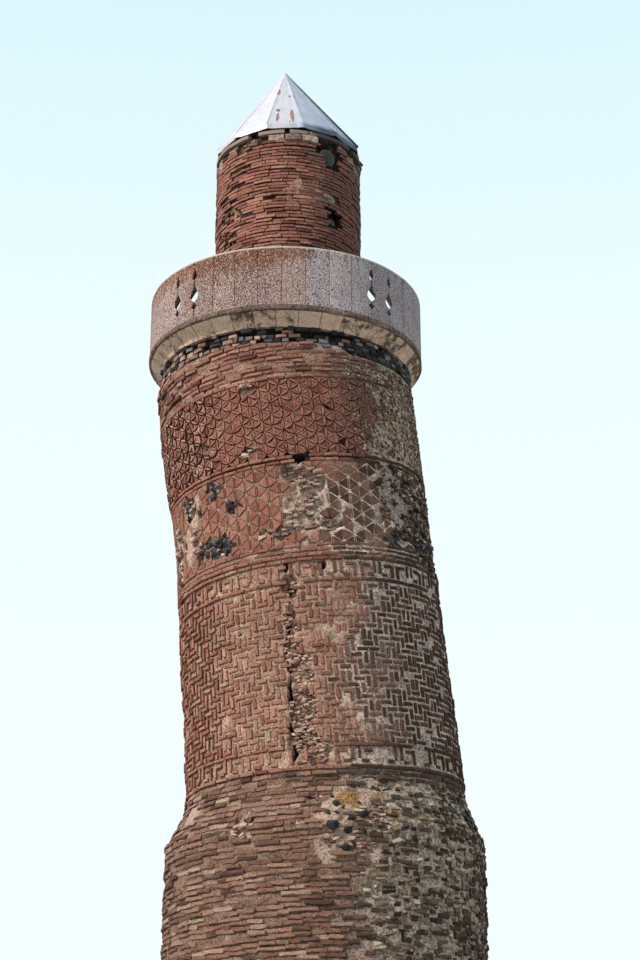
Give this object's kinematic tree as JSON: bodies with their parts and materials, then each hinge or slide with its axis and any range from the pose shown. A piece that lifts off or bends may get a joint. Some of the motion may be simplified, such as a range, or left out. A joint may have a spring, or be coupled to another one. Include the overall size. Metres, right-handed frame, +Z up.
{
  "type": "minaret",
  "caption": "Leaning round brick minaret with patterned bands, a stone balcony with pierced parapet, a narrow upper turret and a sheet-metal cone, on a square stone plinth.",
  "frame": {"origin": "centre of the square plinth's underside, on the ground", "axes": "+Z up; -Y is the front, which the picture shows; the shaft leans and bends towards -X"},
  "size_m": [5.644, 5.2, 20.71],
  "materials": {
    "cut_stone": "matte",
    "brick": "matte",
    "balcony_stone": "matte",
    "parapet_stone": "matte",
    "sheet_metal": "satin",
    "timber": "matte",
    "loudspeaker": "satin"
  },
  "bodies": {
    "root": {"base_course": "cut_stone", "plinth_front_left": "cut_stone", "plinth_front_right": "cut_stone", "plinth_left": "cut_stone", "plinth_right": "cut_stone", "plinth_back": "cut_stone", "plinth_over_door": "cut_stone", "drum_front": "brick", "drum_right": "brick", "drum_back": "brick", "drum_left": "brick", "meander_front": "brick", "meander_right": "brick", "meander_back": "brick", "meander_left": "brick", "star_band_front": "brick", "star_band_right": "brick", "star_band_back": "brick", "star_band_left": "brick", "rosette_band_front": "brick", "rosette_band_right": "brick", "rosette_band_back": "brick", "rosette_band_left": "brick", "top_courses_front": "brick", "top_courses_right": "brick", "top_courses_back": "brick", "top_courses_left": "brick", "balcony_front": "balcony_stone", "balcony_right": "balcony_stone", "balcony_back": "balcony_stone", "balcony_left": "balcony_stone", "parapet_front": "parapet_stone", "parapet_right": "parapet_stone", "parapet_back": "parapet_stone", "parapet_left": "parapet_stone", "parapet_slab_front_right": "parapet_stone", "parapet_slab_back_right": "parapet_stone", "parapet_slab_back_left": "parapet_stone", "parapet_slab_front_left": "parapet_stone", "turret_front": "brick", "turret_right": "brick", "turret_left": "brick", "turret_back_right": "brick", "turret_back_left": "brick", "turret_over_door": "brick", "eave_board": "timber", "cone_roof": "sheet_metal", "loudspeaker_lower": "loudspeaker", "loudspeaker_upper": "loudspeaker"}
  },
  "joints": []
}
